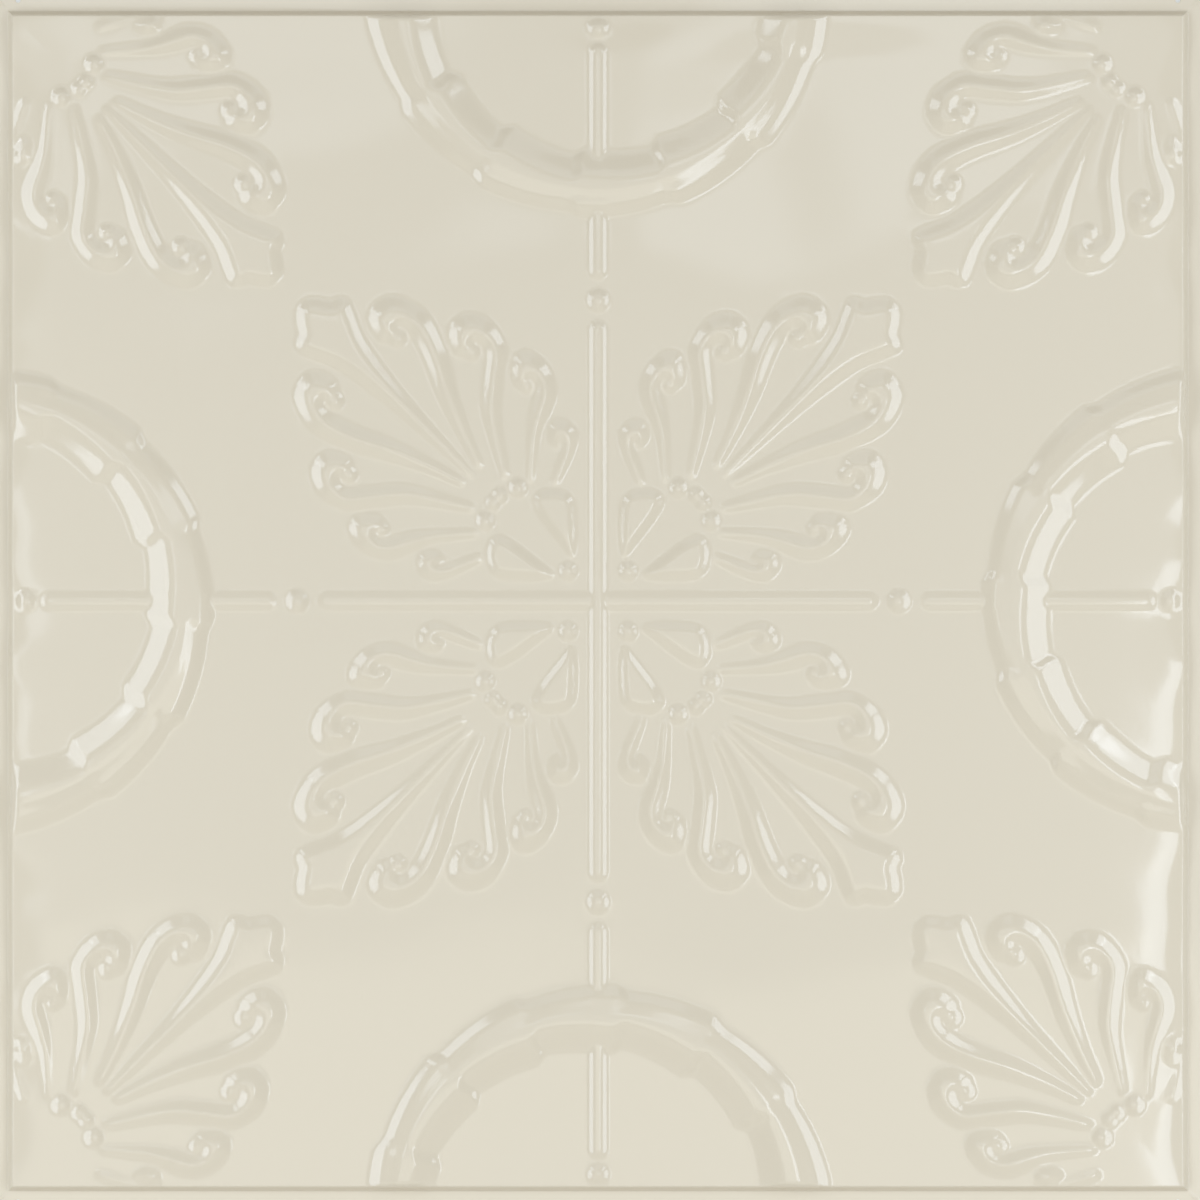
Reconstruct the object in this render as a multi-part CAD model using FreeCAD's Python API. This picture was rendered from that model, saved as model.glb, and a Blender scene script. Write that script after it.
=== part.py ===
import FreeCAD, Part
import math
import os

os.makedirs("parts", exist_ok=True)
Vec = FreeCAD.Vector
UP = Vec(0, 0, 1)

# The sheet, its flange and the step up to the raised field
tile_side = 603.25
grid_clearance = 3.175
sheet_thickness = 0.38
flange_width = 9.525
step_height = 4.8
step_run = 2.6

# Nail holes in the top and bottom flanges
hole_radius = 1.25
hole_from_side = 14.6
hole_from_edge = 4.3

# Palmette lobes, with heights over the field
wall_run = 4.4
petal_foot_height = 1.2
petal_tip_height = 2.0
calyx_height = 1.6
foot_knob_along = 21.0
foot_knob_radius = 5.0

# Husk rings at the middle of each side
husk_count = 14
husk_turn = 6.43
narrow_inner = 85.0
narrow_outer = 113.0
narrow_height = 3.8
wide_inner = 80.5
wide_outer = 117.0
wide_height = 5.0
husk_face_run = 11.5
brim_run = 3.0
brim_height = 1.2
mouth_run = 3.0

# Half-round bead on both centre lines, its dots, and the straps over the rings
bead_width = 9.8
bead_height = 1.4
bead_end_run = 3.0
centre_run_end = 138.8
dot_along = 148.5
dot_radius = 5.8
outer_run_start = 158.5
outer_run_end = 276.0
end_knob_along = 283.4
end_knob_radius = 5.4
knob_height = 1.7
knob_wall_run = 3.0
strap_width = 13.0
strap_flat = 9.8
strap_rise = 0.5

# How finely the round stretches are faceted: degrees a side, and sides round a knob
turn_per_side = 42.0
knob_sides = 8

# Lobes of the palmette: distances along its axis and out from it, and angles in degrees round a tip
leaf_foot = (102.0, 2.2)
leaf_side = (146.0, 5.6)
leaf_waist = (184.0, 14.6)
leaf_ear = (193.4, 17.4)
leaf_neck = (196.2, 8.8)
leaf_tip = (207.4, 0.0)
petals = [
    {"tip": (166.4, 27.6), "radius": 13.8, "edge_at": 117, "hook_at": -92, "notch": (155.2, 25.8),
     "inner": (124.0, 14.2), "outer_foot": (91.4, 8.6), "inner_foot": (93.4, 5.6)},
    {"tip": (134.6, 48.0), "radius": 12.2, "edge_at": 140, "hook_at": -85, "notch": (125.8, 45.8),
     "inner": (108.0, 27.6), "outer_foot": (80.2, 14.8), "inner_foot": (82.8, 12.2)},
    {"tip": (102.0, 54.2), "radius": 10.9, "edge_at": 154, "hook_at": -75, "notch": (96.4, 49.8),
     "inner": (86.6, 38.0), "outer_foot": (70.8, 24.4), "inner_foot": (74.2, 22.4)},
    {"tip": (70.8, 45.2), "radius": 6.4, "edge_at": 152, "hook_at": -75, "notch": None,
     "inner": (65.0, 36.6), "outer_foot": (57.0, 31.0), "inner_foot": (60.6, 29.2)},
]
petals_at_corner = 3
wing_foot = (25.6, 6.4)
wing_back = (33.6, 18.4)
wing_top = (46.0, 26.0)
wing_round = (56.2, 22.0)
wing_end = (58.0, 13.6)
wing_front = (42.0, 9.6)

half_tile = tile_side / 2
motif_reach = half_tile + grid_clearance
field_half = half_tile - flange_width
field_level = sheet_thickness + step_height
samples_on_side = 3
grazing = 0.05
hair = 0.001
longest_mitre = 2.2
die_headroom = 20.0
quarter_turns = (0, 90, 180, 270)


def points_round(outline):
    points = []
    for (start, middle), (end, following) in zip(outline, outline[1:] + outline[:1]):
        if middle is None:
            points.append(start)
        else:
            arc = Part.Arc(start, middle, end)
            turn = math.degrees(arc.LastParameter - arc.FirstParameter)
            points += arc.toShape().discretize(math.ceil(turn / turn_per_side) + 1)[:-1]
    return points


def inset(point, lean, around):
    room = wall_run * 2
    for other in around:
        reach = other - point
        ahead = lean.dot(reach)
        if ahead > grazing * reach.Length:
            room = min(room, reach.dot(reach) / (2 * ahead))
    return point + lean * min(wall_run, room / 2)


def brow_of(points):
    ends = points[1:] + points[:1]
    side = Part.Face(closed(points)).normalAt(0, 0).z
    across = [Vec(p.y - q.y, q.x - p.x, 0).normalize() * side for p, q in zip(points, ends)]
    shares = [k / samples_on_side for k in range(samples_on_side)]
    around = [p + (q - p) * share for p, q in zip(points, ends) for share in shares]
    brow = []
    for i, point in enumerate(points):
        both = across[i - 1] + across[i]
        lean = both * (1 / max(1 + across[i - 1].dot(across[i]), 2 / longest_mitre))
        brow.append(inset(point, lean, around))
    return brow


def closed(points):
    return Part.makePolygon(points + points[:1])


def lobe(outline, foot_height, tip_height):
    points = points_round(outline)
    first = min(point.x for point in points)
    last = max(point.x for point in points)
    slope = (tip_height - foot_height) / (last - first)
    base = closed([point + UP * field_level for point in points])
    brow = brow_of(points)
    top = closed([spot + UP * (field_level + foot_height + slope * (spot.x - first)) for spot in brow])
    walls = [Part.makeRuledSurface(foot, edge) for foot, edge in zip(base.Edges, top.Edges)]
    return solid_of([Part.Face(base), Part.Face(top)] + walls)


def solid_of(faces):
    shell = Part.makeShell(faces)
    shell.sewShape()
    solid = Part.makeSolid(shell)
    if solid.Volume < 0:
        solid.reverse()
    return solid


def button(along, radius):
    turns = [360.0 * k / knob_sides for k in range(knob_sides)]
    centre = Vec(along, 0, field_level)
    base = closed([centre + toward(turn, radius) for turn in turns])
    top = closed([centre + toward(turn, radius - knob_wall_run) + UP * knob_height for turn in turns])
    return Part.makeLoft([base, top], True, True)


def curled_outline(petal):
    centre = Vec(*petal["tip"])
    turns = (petal["edge_at"], (petal["edge_at"] + petal["hook_at"]) / 2, petal["hook_at"])
    edge, middle, hook = [centre + toward(turn, petal["radius"]) for turn in turns]
    outer_foot = Vec(*petal["outer_foot"])
    inner_foot = Vec(*petal["inner_foot"])
    chord = edge - outer_foot
    swing = math.radians(petal["edge_at"] - 90) - math.atan2(chord.y, chord.x)
    outer = (edge + outer_foot) / 2 + Vec(chord.y, -chord.x, 0) * (math.tan(swing / 2) / 2)
    outline = [(outer_foot, outer), (edge, middle)]
    inner = Vec(*petal["inner"])
    if petal["notch"] is None:
        outline.append((hook, inner))
    else:
        outline += [(hook, None), (Vec(*petal["notch"]), inner)]
    return outline + [(inner_foot, None)]


def leaf_outline():
    there = [Vec(*spot) for spot in (leaf_foot, leaf_side, leaf_waist, leaf_ear, leaf_neck, leaf_tip)]
    back = [Vec(spot.x, -spot.y, 0) for spot in reversed(there[:-1])]
    spots = there + back
    return list(zip(spots[::2], spots[1::2])) + [(spots[-1], None)]


def wing_outline():
    spots = [Vec(*spot) for spot in (wing_foot, wing_back, wing_top, wing_round, wing_end, wing_front)]
    return list(zip(spots[::2], spots[1::2]))


def palmette(lobes):
    return [lobe(curled_outline(petal), petal_foot_height, petal_tip_height) for petal in lobes]


def both_sides(halves):
    return halves + [half.mirror(Vec(0, 0, 0), Vec(0, 1, 0)) for half in halves]


def placed(shape, centre, turn):
    copy = shape.copy()
    copy.Placement = FreeCAD.Placement(centre, FreeCAD.Rotation(UP, turn))
    return copy


def toward(turn, distance):
    return Vec(math.cos(math.radians(turn)), math.sin(math.radians(turn)), 0) * distance


def arch_section(angle, inner, outer, height):
    profile = [(inner, 0), (inner + husk_face_run, height), (outer - brim_run, brim_height), (outer, 0)]
    return closed([toward(angle, -r) + UP * (field_level + z) for r, z in profile])


def between(narrow, wide, share):
    return narrow + (wide - narrow) * share


def husk_section(angle, share, extra):
    inner = between(narrow_inner, wide_inner, share) - extra
    outer = between(narrow_outer, wide_outer, share) + extra
    return arch_section(angle, inner, outer, between(narrow_height, wide_height, share) + extra)


def husk_ring():
    step = 360.0 / husk_count
    half_mouth = math.degrees(mouth_run / (wide_inner + wide_outer))
    each_way = math.ceil(90.0 / step)
    sections = []
    for k in range(-each_way, each_way):
        start = k * step - husk_turn
        sections.append(husk_section(start + half_mouth, 1.0, 0))
        sections.append(husk_section(start + step / 2, 0.5, 0))
        sections.append(husk_section(start + step - half_mouth, 0.0, 0))
    return Part.makeLoft(sections, True, True)


def strap():
    share = 1 - husk_turn * husk_count / 360.0
    edge = strap_width / 2
    brow = strap_flat / 2
    sections = []
    for offset, extra in ((-edge, -strap_rise), (-brow, strap_rise), (brow, strap_rise), (edge, -strap_rise)):
        wire = husk_section(0, share, extra)
        wire.translate(Vec(0, offset, 0))
        sections.append(wire)
    return Part.makeLoft(sections, True, True)


def bead_run(start, end):
    half = bead_width / 2
    radius = (half * half + bead_height * bead_height) / (2 * bead_height)
    crest = field_level + bead_height
    rod = Part.makeCylinder(radius, end - start, Vec(start, 0, crest - radius), Vec(1, 0, 0))
    side = [Vec(start, -half, field_level), Vec(end, -half, field_level)]
    side += [Vec(end - bead_end_run, -half, crest), Vec(start + bead_end_run, -half, crest)]
    return rod.common(Part.Face(Part.makePolygon(side + side[:1])).extrude(Vec(0, bead_width, 0)))


def frustum(low, high):
    slope = step_run / step_height
    wires = []
    for level in (low, high):
        reach = field_half - (level - sheet_thickness) * slope
        wires.append(Part.makePolygon(square_corners(reach, level)))
    return Part.makeLoft(wires, True, True)


def square_corners(reach, level):
    return [Vec(x * reach, y * reach, level) for x, y in ((-1, -1), (1, -1), (1, 1), (-1, 1), (-1, -1))]


# The die: a slab with the raised field, and the relief standing on it
slab = Part.makeBox(tile_side, tile_side, step_height + sheet_thickness)
slab.translate(Vec(-half_tile, -half_tile, -step_height))
plateau = frustum(0, field_level)
headroom = frustum(0, field_level + die_headroom)

leaf = lobe(leaf_outline(), petal_foot_height, petal_tip_height)
wing = lobe(wing_outline(), calyx_height, calyx_height)
cut_short = [leaf] + both_sides(palmette(petals[:petals_at_corner]))
whole = [leaf, button(foot_knob_along, foot_knob_radius)] + both_sides(palmette(petals) + [wing])
ring = husk_ring()
on_rays = [bead_run(outer_run_start, outer_run_end)]
on_rays.append(button(dot_along, dot_radius))
on_rays.append(button(end_knob_along, end_knob_radius))
relief = []
for turn in quarter_turns:
    relief += [placed(piece, Vec(0, 0, 0), turn + 45) for piece in whole]
    corner = toward(turn + 45, motif_reach * math.sqrt(2))
    relief += [placed(piece, corner, turn + 225) for piece in cut_short]
    side = toward(turn, motif_reach)
    relief.append(placed(ring, side, turn).common(headroom))
    relief.append(placed(strap(), side, turn))
    relief += [placed(piece, Vec(0, 0, 0), turn) for piece in on_rays]
for turn in quarter_turns[:2]:
    relief.append(placed(bead_run(-centre_run_end, centre_run_end), Vec(0, 0, 0), turn))
die = slab.fuse(plateau).multiFuse(relief)

# The sheet: the die's upper skin, the same skin one thickness lower, and the rim between them
front = [face for face in die.Faces if face.BoundBox.ZMin > -hair]
back = []
for face in front:
    copy = face.copy()
    copy.translate(Vec(0, 0, -sheet_thickness))
    back.append(copy.reversed())
corners = square_corners(half_tile, 0)
rim = [Part.makeLine(*pair).extrude(UP * sheet_thickness) for pair in zip(corners, corners[1:])]
sheet = solid_of(front + back + rim)

for x in (-1, 1):
    for y in (-1, 1):
        spot = Vec(x * (half_tile - hole_from_side), y * (half_tile - hole_from_edge), -sheet_thickness)
        sheet = sheet.cut(Part.makeCylinder(hole_radius, sheet_thickness * 3, spot))
sheet.Solids[0].exportStep("parts/ceiling_tile.step")
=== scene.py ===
import bmesh
import bpy
import math
import numpy as np
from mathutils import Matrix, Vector


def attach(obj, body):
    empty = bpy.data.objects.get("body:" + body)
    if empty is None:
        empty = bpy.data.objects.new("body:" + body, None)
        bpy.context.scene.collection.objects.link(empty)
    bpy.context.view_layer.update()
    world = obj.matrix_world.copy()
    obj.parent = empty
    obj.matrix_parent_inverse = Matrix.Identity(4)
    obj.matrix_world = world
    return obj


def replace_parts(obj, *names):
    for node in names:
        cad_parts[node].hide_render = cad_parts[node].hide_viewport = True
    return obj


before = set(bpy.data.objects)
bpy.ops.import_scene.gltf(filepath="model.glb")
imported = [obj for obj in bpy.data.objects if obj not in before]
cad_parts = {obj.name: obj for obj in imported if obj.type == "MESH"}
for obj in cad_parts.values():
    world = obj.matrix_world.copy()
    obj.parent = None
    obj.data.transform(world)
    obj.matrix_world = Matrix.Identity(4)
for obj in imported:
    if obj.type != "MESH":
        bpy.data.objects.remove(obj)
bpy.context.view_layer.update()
MM = 0.001

# Sizes of the tile in millimetres, as in the part's source
tile_half = 301.625
grid_clearance = 3.175
flange_width = 9.525
thickness = 0.38
step_height = 4.8
step_run = 2.6
hole_from_side, hole_from_edge = 14.6, 4.3
hole_radius = 1.25
motif_reach = tile_half + grid_clearance
field_half = tile_half - flange_width
hole_x, hole_y = tile_half - hole_from_side, tile_half - hole_from_edge
holes = [(x * hole_x, y * hole_y) for x in (-1, 1) for y in (-1, 1)]

# Husk rings: fourteen husks a turn, each flaring from its narrow end to its mouth
husks_a_turn = 14
husk_turn = 6.43
husk_step = 360 / husks_a_turn
husk_inner, husk_inner_flare = 85, 4.5
husk_outer, husk_outer_flare = 113.5, 3
husk_height, husk_height_flare = 4.4, 0.45
husk_face_slope = 0.31
brim_run, brim_height = 6.5, 2.7
face_and_brim_run = 19
crest_blend, brim_blend, husk_foot_blend = 1.2, 0.6, 0.35
reed_depth, reed_pitch, reed_crest = 0.08, 9, 101
mouth_lip = 0.08
scallop_middle, scallop_reach, scallop_lead, scallop_lag = 98.5, 11.5, 0.9, 0.6
strap_inner, strap_outer, strap_height = 81.5, 116, 4.4
strap_half, strap_edge = 6.6, 2
ring_least, ring_most, ring_start = 74, 123, 150

# Beads: their runs from the middle outward, and the dots at their breaks as place and radius
bead_runs = ((0, 133.9), (163.4, 271.1))
bead_half, bead_slope, bead_height = 4.9, 0.48, 1.5
level_bead_share = 0.6
bead_blend = 0.3
dots = ((148.5, 5.8), (283.4, 5.6))
dot_rise = 1.8
cap_foot_blend = 0.25

# Lobes of the palmette: slope of their sides, and height away from their bulbs
lobe_slope, wing_slope = 0.35, 0.42
leaf_height, petal_height, wing_height = 1.1, 1.0, 1.8
lobe_spread, lobe_foot_blend, lobe_top_blend = 1.0, 0.9, 0.5
lobe_margin = 3
bulb_fade = 1.4

# Outlines of the palmette's lobes: distance along its axis, and out from it
leaf_edge = [(88, 0), (90, 1.2), (116, 2.9), (143.5, 5.2), (171, 9.5), (184, 14.6), (191.5, 17.4), (196, 15),
             (197.8, 11), (201.6, 8.6), (206.2, 4.4), (207.4, 0)]
leaf = leaf_edge + [(a, -p) for a, p in reversed(leaf_edge[1:-1])]
petal_1 = [(88, 6), (90, 8.4), (104, 14.3), (122.8, 24), (141.3, 34.8), (160.5, 40.3), (176.8, 35.4),
           (181.4, 25.1), (177.7, 17.5), (168, 14.8), (162.6, 18.4), (160.4, 22.6), (163.6, 26), (156.4, 27),
           (144.3, 23.2), (123, 14.1), (92, 5)]
petal_2 = [(76, 11.6), (77.4, 14.4), (98.9, 30.4), (110.5, 44.2), (120.2, 56.2), (134.7, 59.9), (145.2, 55.3),
           (148.2, 47), (145, 40.4), (136.6, 36.6), (131.2, 39.6), (129.4, 43.4), (131.8, 47), (126.1, 47.6),
           (116.2, 36.1), (105.6, 25.5), (79, 11)]
petal_3 = [(66, 18.4), (66, 20.6), (77.2, 35.4), (81.6, 45.4), (87.6, 57.8), (98.3, 64.2), (110, 63.4),
           (114.6, 57.8), (112.2, 51.4), (105.4, 46.6), (100.2, 47.6), (99.4, 50.6), (99.6, 53.2),
           (95.4, 51.4), (86.6, 38.4), (68.6, 19)]
petal_4 = [(56, 25.6), (55.2, 27.8), (60.4, 42.1), (66.3, 51), (74, 51.4), (78.6, 46), (75.6, 40.6),
           (71, 38.6), (67.6, 39.6), (68.4, 42.4), (65.2, 40), (58.6, 26.4)]
wing = [(25, 6.6), (26.8, 10.2), (34, 18.4), (45, 26.6), (55, 22.5), (58.5, 14), (50, 9.6), (29.5, 6.8)]
# Knobs and eyes as place, radius and rise, and bulbs as place, reach and rise
knobs = [(21, 0, 4.8, 1.5), (67.5, 11.4, 4.8, 1.6), (71, 2.5, 4.0, 1.3)]
leaf_bulb = (190, 10, 60, 1.2)
bulbs = [(166.4, 27.6, 46, 1.6), (134.6, 48, 40, 1.6), (102, 54.2, 30, 1.4), (70.8, 45.2, 16, 1.0)]
eyes = [(162.2, 22.2, 5.2, 1.6), (131.4, 43, 4.8, 1.5), (100.6, 50.4, 4.2, 1.3)]


def smooth(t):
    t = np.clip(t, 0, 1)
    return t * t * (3 - 2 * t)


def closed_curve(points, parts=8):
    """Points along a smooth closed curve through the given ones."""
    p = np.array(points, float)
    back, ahead, after = np.roll(p, 1, 0), np.roll(p, -1, 0), np.roll(p, -2, 0)
    out = []
    for t in np.arange(parts) / parts:
        out.append(0.5 * (2 * p + (ahead - back) * t + (2 * back - 5 * p + 4 * ahead - after) * t * t
                          + (3 * p - back - 3 * ahead + after) * t ** 3))
    return np.stack(out, 1).reshape(-1, 2)


def depth_inside(outline, a, p):
    """Distance of each point from the outline, positive inside it."""
    loop = closed_curve(outline)
    nearest = np.full(a.shape, 1e9)
    inside = np.zeros(a.shape, bool)
    for (a0, p0), (a1, p1) in zip(loop, np.roll(loop, -1, 0)):
        da, dp = a1 - a0, p1 - p0
        t = np.clip(((a - a0) * da + (p - p0) * dp) / (da * da + dp * dp), 0, 1)
        nearest = np.minimum(nearest, (a - a0 - t * da) ** 2 + (p - p0 - t * dp) ** 2)
        if dp:
            inside ^= ((p0 > p) != (p1 > p)) & (a < a0 + (p - p0) * da / dp)
    return np.where(inside, 1, -1) * np.sqrt(nearest)


def higher(a, b, blend):
    """The higher of two heights, rounded where they meet."""
    return (a + b + np.sqrt((a - b) ** 2 + blend * blend)) / 2


def lower(a, b, blend):
    return -higher(-a, -b, blend)


def lobe_height(outline, a, p, top, bulb=None, steep=lobe_slope):
    """A lobe's height: an even slope from its outline up to a rounded top, which is higher at its bulb."""
    loop = np.array(outline, float)
    low, high = loop.min(0) - lobe_margin, loop.max(0) + lobe_margin
    near = (a > low[0]) & (a < high[0]) & (p > low[1]) & (p < high[1])
    out = np.zeros(a.shape)
    if near.any():
        depth = depth_inside(outline, a[near], p[near])
        if bulb:
            away = np.hypot(a[near] - bulb[0], p[near] - bulb[1])
            top = top + bulb[3] * smooth(bulb_fade - away / bulb[2])
        out[near] = lower(steep * higher(depth + lobe_spread, 0, lobe_foot_blend), top, lobe_top_blend)
    return out


def cap(distance, radius, rise):
    """Height of a ball's cap of the given radius and rise, with a rounded foot."""
    ball = (radius * radius + rise * rise) / (2 * rise)
    height = np.sqrt(np.maximum(ball * ball - distance * distance, 0)) - (ball - rise)
    return higher(height, 0, cap_foot_blend)


def palmettes(x, y):
    """Height of the palmettes in one quarter of the tile, folded into one half of one palmette."""
    height = np.zeros(x.shape)
    half = motif_reach / 2
    for corner in (False, True):
        if corner:
            here = (x > half) & (y > half)
            u, v = motif_reach - x[here], motif_reach - y[here]
        else:
            here = (x <= half) & (y <= half)
            u, v = x[here], y[here]
        a, p = (u + v) / math.sqrt(2), np.abs(u - v) / math.sqrt(2)
        best = lobe_height(leaf, a, p, leaf_height, leaf_bulb)
        for petal, bulb in zip((petal_1, petal_2, petal_3, petal_4), bulbs):
            best = np.maximum(best, lobe_height(petal, a, p, petal_height, bulb))
        for at, out, radius, rise in eyes + knobs[1:]:
            best = np.maximum(best, cap(np.hypot(a - at, p - out), radius, rise))
        if not corner:
            best = np.maximum(best, lobe_height(wing, a, p, wing_height, steep=wing_slope))
            best = np.maximum(best, cap(np.hypot(a - knobs[0][0], p), knobs[0][2], knobs[0][3]))
        height[here] = best
    return height


def husk_section(r, inner, outer, tall):
    """Height over a husk's section: a reeded inner face, a longer fall outward and a short brim."""
    face = (r - inner) * husk_face_slope
    reeds = reed_depth * np.cos((r - reed_crest) * 2 * math.pi / reed_pitch)
    fall = brim_height + (outer - brim_run - r) * (tall - brim_height) / (outer - inner - face_and_brim_run)
    fall = fall + reeds
    brim = (outer - r) * brim_height / brim_run
    return higher(lower(lower(face, fall, crest_blend), brim, brim_blend), 0, husk_foot_blend)


def rings(x, y):
    """Height of the husk rings and of the straps over them."""
    height = np.zeros(x.shape)
    for turn in (0, 90, 180, 270):
        c, s = math.cos(math.radians(turn)), math.sin(math.radians(turn))
        px, py = x * c + y * s, y * c - x * s
        r = np.hypot(motif_reach - px, py)
        near = (r > ring_least) & (r < ring_most) & (px > ring_start)
        rr, tx, ty = r[near], px[near], py[near]
        angle = np.degrees(np.arctan2(-ty, motif_reach - tx))
        scallop = np.cos((rr - scallop_middle) / scallop_reach * math.pi) ** 2
        place = (angle + husk_turn + scallop_lead * scallop - scallop_lag) / husk_step
        along = place - np.floor(place)
        opening = smooth((along + mouth_lip) / (2 * mouth_lip)) * (1 - along)
        closing = 1 - along + (along - mouth_lip) * smooth((along - 1 + mouth_lip) / (2 * mouth_lip))
        share = np.where(along < 0.5, opening, closing)
        inner, outer = husk_inner - husk_inner_flare * share, husk_outer + husk_outer_flare * share
        ring = husk_section(rr, inner, outer, husk_height + husk_height_flare * share)
        strap = husk_section(rr, strap_inner, strap_outer, strap_height)
        strap = strap * smooth((strap_half - np.abs(ty)) / strap_edge)
        height[near] = np.maximum(height[near], np.maximum(ring, strap))
    return height


def beads(x, y):
    """Height of the beads, their dots and end knobs in one quarter of the tile."""
    height = np.zeros(x.shape)
    for along, across, share in ((x, y, level_bead_share), (y, x, 1)):
        for start, end in bead_runs:
            off = np.hypot(np.maximum(np.maximum(start - along, along - end), 0), across)
            bead = lower(bead_slope * higher(bead_half - off, 0, bead_blend), bead_height, bead_blend)
            height = np.maximum(height, share * bead)
        for at, radius in dots:
            height = np.maximum(height, cap(np.hypot(along - at, across), radius, dot_rise))
    return height


def blurred(grid, spread):
    """The grid smoothed over a few of its cells, as sheet metal draws over a die."""
    far = math.ceil(3 * spread)
    reach = np.arange(-far, far + 1)
    weight = np.exp(-(reach / spread) ** 2 / 2)
    weight /= weight.sum()
    for axis in (0, 1):
        grid = sum(w * np.roll(grid, k, axis) for k, w in zip(reach, weight))
    return grid


# The relief on a fine grid: one quarter mirrored over, the rings, and the sheet drawn over them
cell = 0.6
draw_spread = 1.7
grid_end = 297
low_fade_start, low_fade_run = 1.5, 7
ring_fade_start, ring_fade_run = 0.5, 4
rim_fade = 3
fine_crispness, fine_spread = 0.04, 8
broad_crispness, broad_spread = 0.08, 24
quarter = np.arange(0, grid_end, cell)
qx, qy = np.meshgrid(quarter, quarter, indexing="ij")
low_relief = np.maximum(palmettes(qx, qy), beads(qx, qy))
low_relief = np.concatenate([low_relief[:0:-1], low_relief])
low_relief = np.concatenate([low_relief[:, :0:-1], low_relief], 1)
whole = np.concatenate([-quarter[:0:-1], quarter])
gx, gy = np.meshgrid(whole, whole, indexing="ij")
inset = field_half - np.maximum(np.abs(gx), np.abs(gy))
drawn = np.maximum(low_relief * smooth((inset - low_fade_start) / low_fade_run),
                   rings(gx, gy) * smooth((inset - ring_fade_start) / ring_fade_run))
drawn = blurred(drawn, draw_spread)
drawn += (fine_crispness * (drawn - blurred(drawn, fine_spread))
          + broad_crispness * (drawn - blurred(drawn, broad_spread)))
drawn *= smooth(inset / rim_fade)


def relief(x, y):
    """Height of the pressed pattern over the field, between the points of its grid."""
    u = np.clip((x - whole[0]) / cell, 0, len(whole) - 1.001)
    v = np.clip((y - whole[0]) / cell, 0, len(whole) - 1.001)
    i, j = u.astype(int), v.astype(int)
    u, v = u - i, v - j
    return ((drawn[i, j] * (1 - u) + drawn[i + 1, j] * u) * (1 - v)
            + (drawn[i, j + 1] * (1 - u) + drawn[i + 1, j + 1] * u) * v)


# Waves of the flats, which grow in the upper part of the field
wave_count = 14
shortest_wave, longest_wave = 90, 260
wave_height, upper_wave_height = 0.11, 0.15
upper_start, upper_run = 80, 110

# Roll of the field's left and right edges: ripples as size, length and shift, falls as depth and run
left_roll, right_roll, right_swing = 0.45, 0.6, 0.25
swing_from, swing_length = 190, 90
roll_ripples = ((0.2, 13, 0), (0.15, 7, 1))
roll_falls = ((0.9, 5), (1.3, 20))

# Rounding of the step, flat rim before the waves, and creases of the flange's corners
step_out, step_ease = 0.2, 0.8
slack_start, slack_run = 3, 25
crease_height, crease_half, crease_fade = 0.15, 0.9, 3


def waves(x, y):
    """Slight waviness of the flats."""
    rng = np.random.default_rng(7)
    out = np.zeros(x.shape)
    for k in range(wave_count):
        length = rng.uniform(shortest_wave, longest_wave)
        way = rng.uniform(0, 2 * math.pi)
        shift = rng.uniform(0, 2 * math.pi)
        along = x * math.cos(way) + y * math.sin(way)
        out += np.cos(along * 2 * math.pi / length + shift) * length / longest_wave
    return out * (wave_height + upper_wave_height * smooth((y - upper_start) / upper_run))


def roll(x, y):
    """Fall of the field toward its left and right edges, where the sheet bends over before the step."""
    edge = np.maximum(field_half - step_run - np.abs(x), 0)
    much = np.where(x > 0, right_roll + right_swing * np.cos((y + swing_from) / swing_length), left_roll)
    for size, length, shift in roll_ripples:
        much = much + size * np.cos(y / length + shift)
    return much * sum(depth * np.exp(-edge / run) for depth, run in roll_falls)


def face_height(x, y):
    """Height of the tile's face over the underside of its flange."""
    edge = field_half - np.maximum(np.abs(x), np.abs(y))
    field = (step_height - roll(x, y)) * smooth((edge + step_out) / (step_run + step_ease))
    slack = smooth((edge - slack_start) / slack_run)
    off_diagonal = (np.abs(x) - np.abs(y)) / crease_half
    crease = crease_height * np.exp(-off_diagonal ** 2) * smooth(-edge / crease_fade)
    return thickness + field + crease + relief(x, y) + waves(x, y) * slack


# The sheet's face, from a grid whose lines close up at the step
face_triangles = 97000
step_outside, step_inside = -293, -288.4
flange_lines, step_lines, field_lines = 8, 14, 362
lines = np.concatenate([np.linspace(-tile_half, step_outside, flange_lines)[:-1],
                        np.linspace(step_outside, step_inside, step_lines)[:-1],
                        np.linspace(step_inside, 0, field_lines)])
lines = np.concatenate([lines, -lines[:-1][::-1]])
count = len(lines) - 1
bm = bmesh.new()
bmesh.ops.create_grid(bm, x_segments=count, y_segments=count, size=1)
mesh = bpy.data.meshes.new("pressed_sheet")
bm.to_mesh(mesh)
bm.free()
at = np.empty(len(mesh.vertices) * 3)
mesh.vertices.foreach_get("co", at)
at = at.reshape(-1, 3)
x = lines[np.rint((at[:, 0] + 1) / 2 * count).astype(int)]
y = lines[np.rint((at[:, 1] + 1) / 2 * count).astype(int)]
at = np.stack([x, y, face_height(x, y)], 1) * MM
mesh.vertices.foreach_set("co", at.ravel())
mesh.update()
tile = bpy.data.objects.new("pressed_sheet", mesh)
bpy.context.collection.objects.link(tile)
thin = tile.modifiers.new("fewer_faces", "DECIMATE")
thin.ratio = face_triangles / (2 * count * count)
solid = tile.modifiers.new("sheet", "SOLIDIFY")
solid.thickness = thickness * MM
solid.offset = -1


def applied(obj):
    """Puts the object's modifiers into its mesh."""
    made = bpy.data.meshes.new_from_object(obj.evaluated_get(bpy.context.evaluated_depsgraph_get()))
    obj.modifiers.clear()
    obj.data = made
    return made


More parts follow.
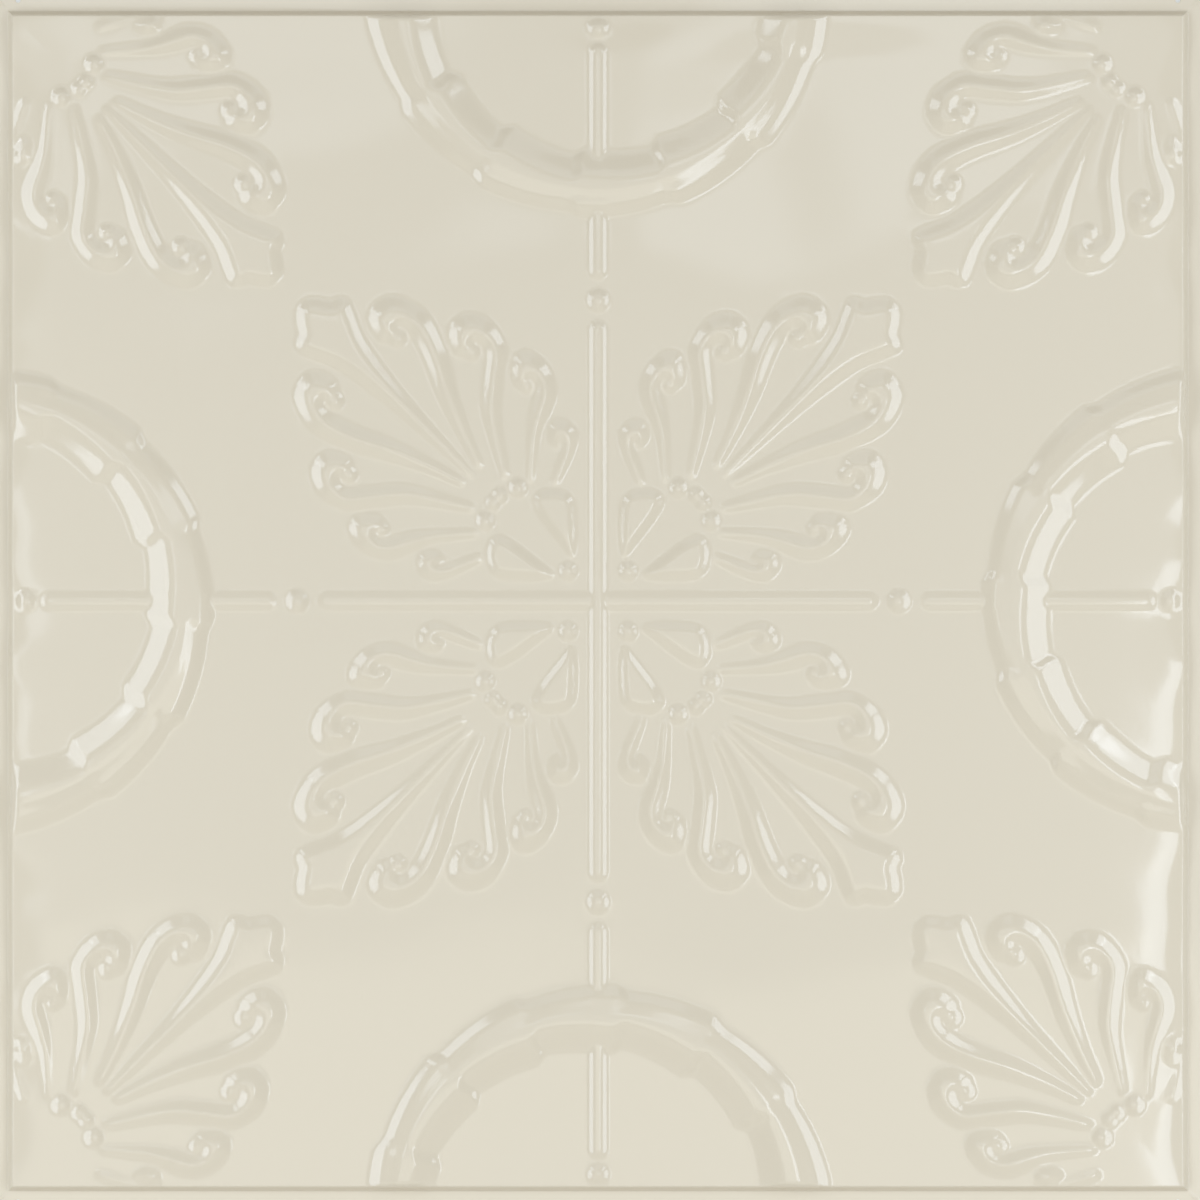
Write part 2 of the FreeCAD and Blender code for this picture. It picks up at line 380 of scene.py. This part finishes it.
# The edge is held to the tile's outline and the floor
mesh = applied(tile)
at = np.empty(len(mesh.vertices) * 3)
mesh.vertices.foreach_get("co", at)
at = at.reshape(-1, 3)
at[:, :2] = np.clip(at[:, :2], -tile_half * MM, tile_half * MM)
at[:, 2] = np.maximum(at[:, 2], 0)
mesh.vertices.foreach_set("co", at.ravel())

# Nail holes
punches = bmesh.new()
for hx, hy in holes:
    made = bmesh.ops.create_cone(punches, cap_ends=True, segments=24, depth=0.01,
                                 radius1=hole_radius * MM, radius2=hole_radius * MM)
    bmesh.ops.translate(punches, verts=made["verts"], vec=(hx * MM, hy * MM, 0))
punch_mesh = bpy.data.meshes.new("punches")
punches.to_mesh(punch_mesh)
punches.free()
punch = bpy.data.objects.new("punches", punch_mesh)
bpy.context.collection.objects.link(punch)
cut = tile.modifiers.new("holes", "BOOLEAN")
cut.operation = "DIFFERENCE"
cut.object = punch
cut.solver = "EXACT"
mesh = applied(tile)
bpy.data.objects.remove(punch)

# Shading follows the die's own slope: on each triangle, the even change of slope that fits it best
bm = bmesh.new()
bm.from_mesh(mesh)
bmesh.ops.triangulate(bm, faces=bm.faces)
bm.to_mesh(mesh)
bm.free()
mesh.polygons.foreach_set("use_smooth", [True] * len(mesh.polygons))
at = np.empty(len(mesh.vertices) * 3)
mesh.vertices.foreach_get("co", at)
corner = np.empty(len(mesh.loops), int)
mesh.loops.foreach_get("vertex_index", corner)
at = at.reshape(-1, 3)[corner].reshape(-1, 3, 3) / MM
flat = np.empty(len(mesh.polygons) * 3)
mesh.polygons.foreach_get("normal", flat)
flat = np.repeat(flat.reshape(-1, 3), 3, 0)
parts, spot_inset, edge_tilt = 4, 0.04, 0.05
weights = np.array([(i, j, parts - i - j) for i in range(parts + 1) for j in range(parts + 1 - i)])
weights = weights / parts * (1 - 3 * spot_inset) + spot_inset
spots = np.einsum("sc,tcx->tsx", weights, at)
x, y, d = spots[..., 0], spots[..., 1], cell / 2
along_x = face_height(x + d, y) - face_height(x - d, y)
along_y = face_height(x, y + d) - face_height(x, y - d)
slopes = np.stack([along_x, along_y], 2) / (2 * d)
slopes = np.einsum("cs,tsx->tcx", np.linalg.pinv(weights), slopes).reshape(-1, 2)
normals = np.concatenate([-slopes, np.ones((len(slopes), 1))], 1)
normals *= np.where(flat[:, 2:] > 0, 1, -1) / np.linalg.norm(normals, axis=1)[:, None]
normals = np.where(np.abs(flat[:, 2:]) < edge_tilt, flat, normals)
mesh.normals_split_custom_set(normals)
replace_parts(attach(tile, "root"), "ceiling_tile")


def srgb(r, g, b):
    return [((c / 255 + 0.055) / 1.055) ** 2.4 for c in (r, g, b)] + [1]


# Glossy cream enamel with a faint orange peel
paint = bpy.data.materials.new("cream_enamel")
paint.use_nodes = True
nodes, links = paint.node_tree.nodes, paint.node_tree.links
shader = nodes["Principled BSDF"]
shader.inputs["Base Color"].default_value = srgb(222, 213, 193)
shader.inputs["Roughness"].default_value = 0.08
shader.inputs["IOR"].default_value = 1.55
coords = nodes.new("ShaderNodeTexCoord")
peel = nodes.new("ShaderNodeTexNoise")
peel.inputs["Scale"].default_value = 220
peel.inputs["Detail"].default_value = 2
bump = nodes.new("ShaderNodeBump")
bump.inputs["Strength"].default_value = 0.03
bump.inputs["Distance"].default_value = 0.0004
links.new(coords.outputs["Object"], peel.inputs["Vector"])
links.new(peel.outputs["Fac"], bump.inputs["Height"])
links.new(bump.outputs["Normal"], shader.inputs["Normal"])
mesh.materials.clear()
mesh.materials.append(paint)

# Floor
bm = bmesh.new()
bmesh.ops.create_grid(bm, x_segments=1, y_segments=1, size=6)
floor_mesh = bpy.data.meshes.new("floor")
bm.to_mesh(floor_mesh)
bm.free()
floor = bpy.data.objects.new("floor", floor_mesh)
bpy.context.collection.objects.link(floor)
pale = bpy.data.materials.new("pale_floor")
pale.use_nodes = True
pale.node_tree.nodes["Principled BSDF"].inputs["Base Color"].default_value = srgb(225, 225, 222)
pale.node_tree.nodes["Principled BSDF"].inputs["Roughness"].default_value = 0.8
floor_mesh.materials.append(pale)

# Lamps: boxes at the sides and behind, panels overhead and in front (place, aim, size, power, colour)
daylight = (0.78, 0.87, 1)
for name, place, aim, size, power, colour in (
        ("left_soft_box", (-1.12, -0.3, 0.96), (0, -0.3, 0), (2.2, 0.5), 12.8, daylight),
        ("right_soft_box", (1.12, -0.3, 0.96), (0, -0.3, 0), (2.2, 0.5), 12.8, daylight),
        ("far_left_box", (-1.6, 1.22, 2.5), (0, 0, 0), (0.6, 0.5), 3.0, daylight),
        ("far_right_box", (1.6, 1.22, 2.5), (0, 0, 0), (0.6, 0.5), 3.4, daylight),
        ("far_middle_box", (0, 1.1, 1.5), (0, 0, 0), (1.1, 0.5), 1.2, daylight),
        ("overhead_panel", (0, -0.15, 3.4), (0, -0.15, 0), (1.9, 1.9), 6, daylight),
        ("near_panel", (0, -0.75, 3.38), (0, -0.75, 0), (1.7, 0.7), 2.8, (1, 0.96, 0.8)),
        ("right_panel", (0.94, -0.5, 3.39), (0.94, -0.5, 0), (0.38, 1.0), 4.6, daylight),
        ("left_panel", (-0.99, -0.05, 3.39), (-0.99, -0.05, 0), (0.3, 0.5), 0.9, daylight),
        ("back_left_panel", (-0.42, 0.62, 3.38), (-0.42, 0.62, 0), (0.5, 0.26), 0.38, daylight),
        ("back_right_panel", (0.36, 0.64, 3.38), (0.36, 0.64, 0), (0.46, 0.34), 0.55, daylight),
        ("front_panel", (0, -1.9, 2.2), (0, 0, 0), (3.2, 1.6), 6, (1, 0.96, 0.85))):
    lamp = bpy.data.lights.new(name, "AREA")
    lamp.shape = "RECTANGLE"
    lamp.size, lamp.size_y = size
    lamp.energy = power
    lamp.color = colour
    box = bpy.data.objects.new(name, lamp)
    box.location = place
    box.rotation_euler = (Vector(aim) - box.location).to_track_quat("-Z", "Y").to_euler()
    bpy.context.collection.objects.link(box)

world = bpy.data.worlds.new("room")
bpy.context.scene.world = world
world.use_nodes = True
world.node_tree.nodes["Background"].inputs["Color"].default_value = (1, 0.9, 0.74, 1)
world.node_tree.nodes["Background"].inputs["Strength"].default_value = 0.33

# Camera, straight over the middle
camera_height = 2.6
camera_shift = (0.001, 0.0005)
view_width = 0.594
sensor = 36
eye = bpy.data.cameras.new("camera")
eye.sensor_width = sensor
eye.lens = sensor * camera_height / view_width
camera = bpy.data.objects.new("camera", eye)
camera.location = (*camera_shift, camera_height)
bpy.context.collection.objects.link(camera)
bpy.context.scene.camera = camera
bpy.context.scene.view_settings.view_transform = "Standard"
